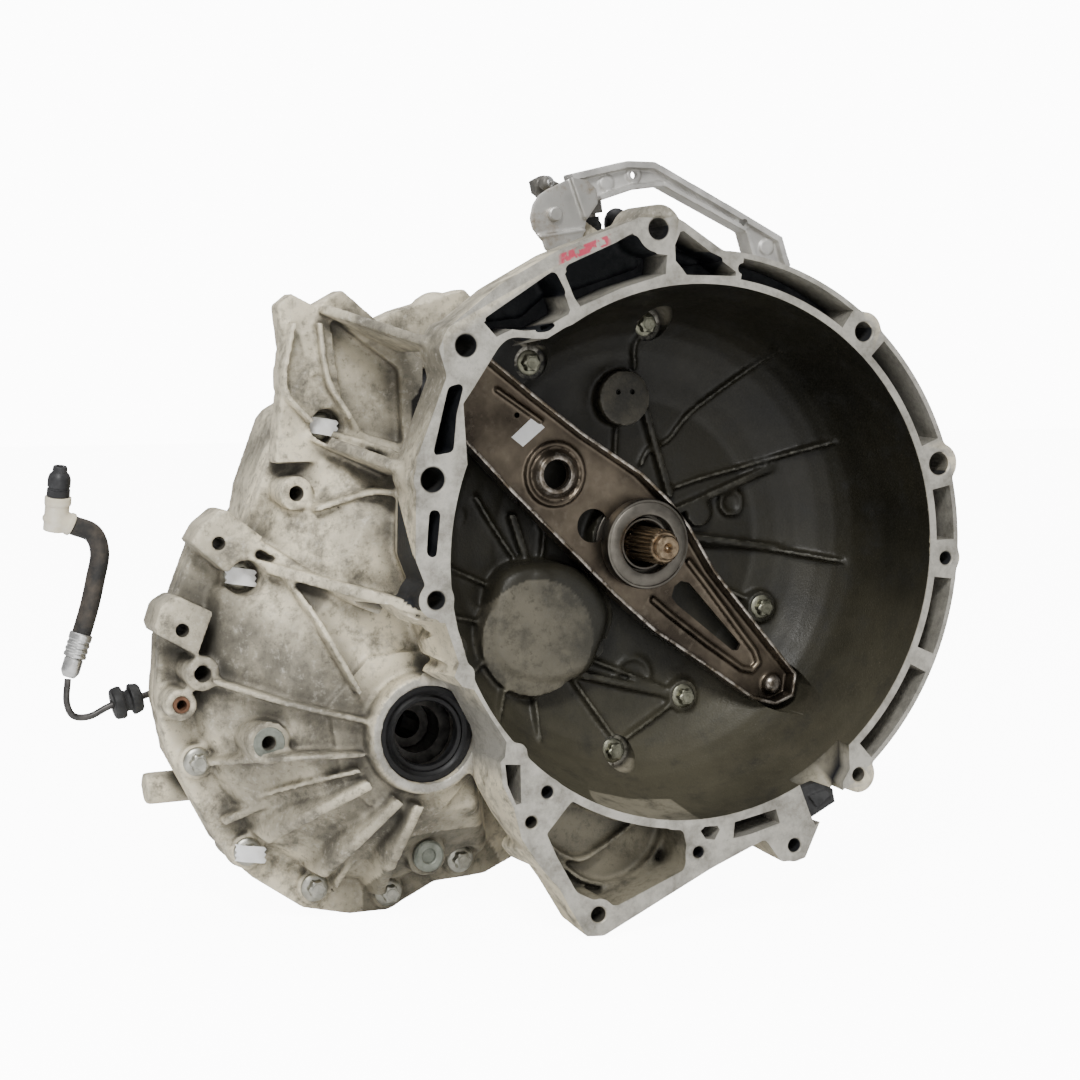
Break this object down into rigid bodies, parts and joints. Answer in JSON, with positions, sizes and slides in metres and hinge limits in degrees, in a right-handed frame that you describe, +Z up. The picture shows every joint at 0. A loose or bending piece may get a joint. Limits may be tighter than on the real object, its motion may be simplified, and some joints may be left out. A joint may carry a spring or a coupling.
{
  "type": "manual transmission",
  "caption": "Transverse manual transaxle with open clutch bell, release fork and bearing, gear train, differential, selector levers and a short hydraulic hose.",
  "frame": {"origin": "where the input shaft's axis crosses the engine face of the clutch housing", "axes": "+Y along the shafts from the engine face into the gearbox, +Z up, +X to the right for someone looking into the clutch housing"},
  "size_m": [0.5623, 0.362, 0.485],
  "materials": {
    "cast_aluminium": "weathered sand-cast surface, dusty and lightly oxidised",
    "machined_steel": "machined, lightly oiled",
    "gear_steel": "ground and oiled",
    "bearing_steel": "polished",
    "pressed_steel": "dark oily pressed steel with bright worn edges",
    "zinc_plate": "dull zinc plating",
    "bronze": "cast bronze",
    "black_rubber": "matt moulded rubber",
    "black_plastic": "matt moulded plastic",
    "white_plastic": "aged off-white plastic",
    "pipe_steel": "dark coated steel pipe"
  },
  "bodies": {
    "housing": {"bell_bolt_1": "zinc_plate", "bell_bolt_2": "zinc_plate", "breather_cap": "black_plastic", "cable_bracket": "cast_aluminium", "clutch_housing": "cast_aluminium", "diff_left_bearing": "bearing_steel", "diff_right_bearing": "bearing_steel", "drain_plug": "zinc_plate", "elbow_connector": "black_plastic", "fork_ball_stud": "machined_steel", "fork_rail": "machined_steel", "gear_housing": "cast_aluminium", "guide_sleeve": "machined_steel", "hose_elbow": "white_plastic", "hose_ferrule": "zinc_plate", "hydraulic_pipe": "pipe_steel", "input_front_bearing": "bearing_steel", "input_rear_bearing": "bearing_steel", "joint_bolt_1": "zinc_plate", "joint_bolt_2": "zinc_plate", "left_drive_seal": "black_rubber", "output_front_bearing": "bearing_steel", "output_rear_bearing": "bearing_steel", "pipe_grommet": "black_rubber", "pressure_hose": "black_rubber", "right_drive_seal": "black_rubber", "selector_boot": "black_rubber", "selector_cover": "cast_aluminium", "slave_cylinder": "black_plastic"},
    "input_shaft": {"input_shaft": "gear_steel"},
    "output_shaft": {"output_shaft": "gear_steel"},
    "first_gear": {"first_gear": "gear_steel"},
    "second_gear": {"second_gear": "gear_steel"},
    "third_gear": {"third_gear": "gear_steel"},
    "fourth_gear": {"fourth_gear": "gear_steel"},
    "fifth_gear": {"fifth_gear": "gear_steel"},
    "reverse_gear": {"reverse_gear": "gear_steel"},
    "reverse_idler": {"reverse_idler_gear": "gear_steel"},
    "differential": {"differential_case": "machined_steel", "ring_gear": "gear_steel", "planet_pin": "machined_steel"},
    "side_gear_right": {"side_gear_right": "gear_steel"},
    "side_gear_left": {"side_gear_left": "gear_steel"},
    "planet_upper": {"planet_gear_upper": "gear_steel"},
    "planet_lower": {"planet_gear_lower": "gear_steel"},
    "sleeve_12": {"synchro_sleeve_12": "machined_steel"},
    "sleeve_34": {"synchro_sleeve_34": "machined_steel"},
    "sleeve_5r": {"synchro_sleeve_5r": "machined_steel"},
    "fork_12": {"shift_12_fork": "bronze"},
    "fork_34": {"shift_34_fork": "bronze"},
    "fork_5r": {"shift_5r_fork": "bronze"},
    "release_fork": {"release_fork": "pressed_steel"},
    "release_carrier": {"release_bearing": "machined_steel"},
    "release_race": {"release_bearing_race": "bearing_steel"},
    "push_rod": {"push_rod": "machined_steel"},
    "selector": {"selector_shaft": "machined_steel", "shift_lever": "cast_aluminium"},
    "select_lever": {"select_lever": "zinc_plate"}
  },
  "joints": [
    {"name": "input_spin", "type": "hinge", "parent": "housing", "child": "input_shaft", "pos_m": [0, 0.13, 0], "axis": [0, 1, 0], "continuous": true},
    {"name": "first_gear_spin", "type": "hinge", "parent": "housing", "child": "first_gear", "pos_m": [-0.07386, 0.261, -0.05981], "axis": [0, 1, 0], "continuous": true},
    {"name": "second_gear_spin", "type": "hinge", "parent": "housing", "child": "second_gear", "pos_m": [-0.07386, 0.221, -0.05981], "axis": [0, 1, 0], "continuous": true},
    {"name": "third_gear_spin", "type": "hinge", "parent": "housing", "child": "third_gear", "pos_m": [-0.07386, 0.202, -0.05981], "axis": [0, 1, 0], "continuous": true},
    {"name": "fourth_gear_spin", "type": "hinge", "parent": "housing", "child": "fourth_gear", "pos_m": [-0.07386, 0.162, -0.05981], "axis": [0, 1, 0], "continuous": true},
    {"name": "fifth_gear_spin", "type": "hinge", "parent": "housing", "child": "fifth_gear", "pos_m": [-0.07386, 0.28, -0.05981], "axis": [0, 1, 0], "continuous": true},
    {"name": "reverse_idler_spin", "type": "hinge", "parent": "housing", "child": "reverse_idler", "pos_m": [-0.04429, 0.32, 0.02424], "axis": [0, 1, 0], "continuous": true},
    {"name": "reverse_gear_spin", "type": "hinge", "parent": "housing", "child": "reverse_gear", "pos_m": [-0.07386, 0.32, -0.05981], "axis": [0, 1, 0], "continuous": true},
    {"name": "differential_spin", "type": "hinge", "parent": "housing", "child": "differential", "pos_m": [-0.1626, 0.13, -0.10799], "axis": [0, 1, 0], "continuous": true},
    {"name": "output_spin", "type": "hinge", "parent": "housing", "child": "output_shaft", "pos_m": [-0.07386, 0.13, -0.05981], "axis": [0, 1, 0], "continuous": true},
    {"name": "side_gear_right_spin", "type": "hinge", "parent": "differential", "child": "side_gear_right", "pos_m": [-0.1626, 0.1, -0.10799], "axis": [0, 1, 0], "continuous": true},
    {"name": "side_gear_left_spin", "type": "hinge", "parent": "differential", "child": "side_gear_left", "pos_m": [-0.1626, 0.16, -0.10799], "axis": [0, 1, 0], "continuous": true},
    {"name": "planet_upper_spin", "type": "hinge", "parent": "differential", "child": "planet_upper", "pos_m": [-0.1626, 0.13, -0.08399], "axis": [0, 0, 1], "continuous": true},
    {"name": "planet_lower_spin", "type": "hinge", "parent": "differential", "child": "planet_lower", "pos_m": [-0.1626, 0.13, -0.13199], "axis": [0, 0, 1], "continuous": true},
    {"name": "fork_12_slide", "type": "slide", "parent": "housing", "child": "fork_12", "axis": [0, 1, 0], "range_m": [-0.0045, 0.0045]},
    {"name": "fork_5r_slide", "type": "slide", "parent": "housing", "child": "fork_5r", "axis": [0, 1, 0], "range_m": [-0.0045, 0.0045]},
    {"name": "sleeve_12_slide", "type": "slide", "parent": "output_shaft", "child": "sleeve_12", "axis": [0, 1, 0], "range_m": [-0.0045, 0.0045]},
    {"name": "sleeve_5r_slide", "type": "slide", "parent": "output_shaft", "child": "sleeve_5r", "axis": [0, 1, 0], "range_m": [-0.0045, 0.0045]},
    {"name": "selector_turn", "type": "hinge", "parent": "housing", "child": "selector", "pos_m": [0.006, 0.172, 0.168], "axis": [-0.15, 0, 0.9887], "range_deg": [-19.5, 19.5]},
    {"name": "fork_34_slide", "type": "slide", "parent": "housing", "child": "fork_34", "axis": [0, 1, 0], "range_m": [-0.0045, 0.0045]},
    {"name": "sleeve_34_slide", "type": "slide", "parent": "output_shaft", "child": "sleeve_34", "axis": [0, 1, 0], "range_m": [-0.0045, 0.0045]},
    {"name": "select_lever_rock", "type": "hinge", "parent": "housing", "child": "select_lever", "pos_m": [-0.039, 0.14, 0.214], "axis": [0, 1, 0], "range_deg": [-15, 15]},
    {"name": "release_fork_swing", "type": "hinge", "parent": "housing", "child": "release_fork", "pos_m": [0.099, 0.091, -0.099], "axis": [0.6537, 0, 0.7567], "range_deg": [0, 4.1]},
    {"name": "release_bearing_slide", "type": "slide", "parent": "housing", "child": "release_carrier", "axis": [0, -1, 0], "range_m": [0, 0.0101]},
    {"name": "release_race_spin", "type": "hinge", "parent": "release_carrier", "child": "release_race", "pos_m": [0, 0.078, 0], "axis": [0, 1, 0], "continuous": true},
    {"name": "push_rod_slide", "type": "slide", "parent": "housing", "child": "push_rod", "axis": [0, -1, 0], "range_m": [0, 0.021]}
  ],
  "couplings": [
    {"joint": "first_gear_spin", "follows": "input_spin", "ratio": -0.33333},
    {"joint": "second_gear_spin", "follows": "input_spin", "ratio": -0.52381},
    {"joint": "third_gear_spin", "follows": "input_spin", "ratio": -0.77778},
    {"joint": "fourth_gear_spin", "follows": "input_spin", "ratio": -1},
    {"joint": "fifth_gear_spin", "follows": "input_spin", "ratio": -1.2857},
    {"joint": "reverse_idler_spin", "follows": "input_spin", "ratio": -0.7},
    {"joint": "reverse_gear_spin", "follows": "input_spin", "ratio": 0.35},
    {"joint": "output_spin", "follows": "differential_spin", "ratio": -3.25},
    {"joint": "side_gear_left_spin", "follows": "side_gear_right_spin", "ratio": -1},
    {"joint": "planet_upper_spin", "follows": "side_gear_right_spin", "ratio": 1.3333},
    {"joint": "planet_lower_spin", "follows": "side_gear_right_spin", "ratio": -1.3333},
    {"joint": "sleeve_12_slide", "follows": "fork_12_slide", "ratio": 1},
    {"joint": "sleeve_5r_slide", "follows": "fork_5r_slide", "ratio": 1},
    {"joint": "selector_turn", "follows": "fork_34_slide", "rad_per_m": -75},
    {"joint": "sleeve_34_slide", "follows": "fork_34_slide", "ratio": 1},
    {"joint": "release_bearing_slide", "follows": "release_fork_swing", "m_per_rad": 0.14},
    {"joint": "push_rod_slide", "follows": "release_fork_swing", "m_per_rad": 0.292}
  ]
}
